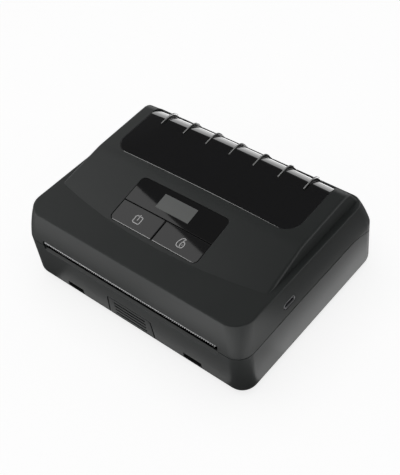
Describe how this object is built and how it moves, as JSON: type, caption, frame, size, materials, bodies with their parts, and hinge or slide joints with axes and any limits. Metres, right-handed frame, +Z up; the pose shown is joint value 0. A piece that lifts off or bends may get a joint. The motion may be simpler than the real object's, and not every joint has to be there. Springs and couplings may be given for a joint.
{
  "type": "portable label printer",
  "caption": "Portable label printer with a hinged cover, smoked window over the roll bay, two keys and a small display, serrated tear blade, release tab and USB-C port.",
  "frame": {"origin": "middle of the plan, at the underside of the rubber feet", "axes": "+X to the right along the width, +Y from the front with the label slot to the rear with the hinge, +Z up"},
  "size_m": [0.16, 0.122, 0.0622],
  "materials": {
    "casing": "fine satin moulded texture",
    "tab": "fine satin moulded texture",
    "key_cap": "semi gloss with printed grey outline symbols",
    "lens": "glossy tinted",
    "smoked_window": "glossy dark smoked",
    "inner_plastic": "moulded black",
    "guide_plastic": "moulded dark grey",
    "gear_plastic": "natural acetal",
    "steel": "plain zinc plated",
    "blade_steel": "bright ground edge",
    "screw_steel": "dark plated",
    "platen_rubber": "smooth ground",
    "foot_rubber": "matte",
    "circuit_board": "green solder resist",
    "components": "moulded black packages",
    "display_glass": "grey display glass",
    "head_ceramic": "glazed ceramic strip",
    "heatsink": "plain milled",
    "battery": "shrink wrapped",
    "contact_brass": "plated contacts",
    "port_steel": "bright shell"
  },
  "bodies": {
    "base": {"lower_casing": "casing", "media_tray": "inner_plastic", "left_cheek": "steel", "right_cheek": "steel", "platen_bushes": "gear_plastic", "stepper_motor": "steel", "motor_screws": "screw_steel", "idler_stud": "steel", "battery_pack": "battery", "battery_contacts": "contact_brass", "battery_door": "casing", "battery_door_screws": "screw_steel", "rubber_feet": "foot_rubber", "casing_screws": "screw_steel", "hinge_pins": "steel", "latch_spring": "steel", "rack_cover": "inner_plastic", "label_sensor": "components"},
    "platen": {"platen_shaft": "steel", "platen_rubber": "platen_rubber", "platen_gear": "gear_plastic", "platen_clip": "steel"},
    "idler": {"idler_gear": "gear_plastic"},
    "motor_rotor": {"motor_pinion": "contact_brass"},
    "latch": {"latch_shaft": "steel", "latch_tab": "tab", "latch_hooks": "steel"},
    "right_roll_guide": {"right_guide": "guide_plastic"},
    "left_roll_guide": {"left_guide": "guide_plastic"},
    "guide_gear": {"guide_pinion": "gear_plastic"},
    "cover": {"upper_casing": "casing", "hood": "casing", "paper_window": "smoked_window", "display_lens": "lens", "panel_frame": "inner_plastic", "key_board": "circuit_board", "lcd_module": "display_glass", "tact_switches": "components", "main_board": "circuit_board", "board_parts": "components", "usb_receptacle": "port_steel", "board_tray": "inner_plastic", "cover_screws": "screw_steel", "head_bracket": "steel", "head_springs": "steel", "tear_blade": "blade_steel", "blade_screws": "screw_steel", "catch_pins": "steel"},
    "head": {"print_head": "head_ceramic", "head_heatsink": "heatsink"},
    "power_button": {"power_key": "key_cap"},
    "feed_button": {"feed_key": "key_cap"}
  },
  "joints": [
    {"name": "cover_hinge", "type": "hinge", "parent": "base", "child": "cover", "pos_m": [0, 0.0584, 0.0235], "axis": [-1, 0, 0], "range_deg": [0, 85]},
    {"name": "latch_rock", "type": "hinge", "parent": "base", "child": "latch", "pos_m": [0, -0.054, 0.0165], "axis": [1, 0, 0], "range_deg": [0, 4], "stiffness_Nm_per_rad": 0.35},
    {"name": "power_press", "type": "slide", "parent": "cover", "child": "power_button", "axis": [0, 0.2147, -0.9767], "range_m": [0, 0.0007], "stiffness_N_per_m": 1500},
    {"name": "feed_press", "type": "slide", "parent": "cover", "child": "feed_button", "axis": [0, 0.2147, -0.9767], "range_m": [0, 0.0007], "stiffness_N_per_m": 1500},
    {"name": "platen_spin", "type": "hinge", "parent": "base", "child": "platen", "pos_m": [0, -0.048, 0.0255], "axis": [1, 0, 0], "continuous": true},
    {"name": "idler_spin", "type": "hinge", "parent": "base", "child": "idler", "pos_m": [0, -0.03522, 0.01655], "axis": [1, 0, 0], "continuous": true},
    {"name": "motor_spin", "type": "hinge", "parent": "base", "child": "motor_rotor", "pos_m": [0, -0.02524, 0.01443], "axis": [1, 0, 0], "continuous": true},
    {"name": "right_guide_slide", "type": "slide", "parent": "base", "child": "right_roll_guide", "axis": [-1, 0, 0], "range_m": [0, 0.031]},
    {"name": "left_guide_slide", "type": "slide", "parent": "base", "child": "left_roll_guide", "axis": [1, 0, 0], "range_m": [0, 0.031]},
    {"name": "guide_gear_spin", "type": "hinge", "parent": "base", "child": "guide_gear", "pos_m": [0, -0.014, 0.027], "axis": [0, 0, 1], "range_deg": [0, 300]},
    {"name": "head_float", "type": "slide", "parent": "cover", "child": "head", "axis": [0, 0, 1], "range_m": [0, 0.0008], "stiffness_N_per_m": 9000, "deforming": ["head_springs"]}
  ],
  "couplings": [
    {"joint": "idler_spin", "follows": "platen_spin", "ratio": -1.1667},
    {"joint": "motor_spin", "follows": "platen_spin", "ratio": 2.8},
    {"joint": "left_guide_slide", "follows": "right_guide_slide", "ratio": 1},
    {"joint": "guide_gear_spin", "follows": "right_guide_slide", "rad_per_m": 166.67}
  ]
}
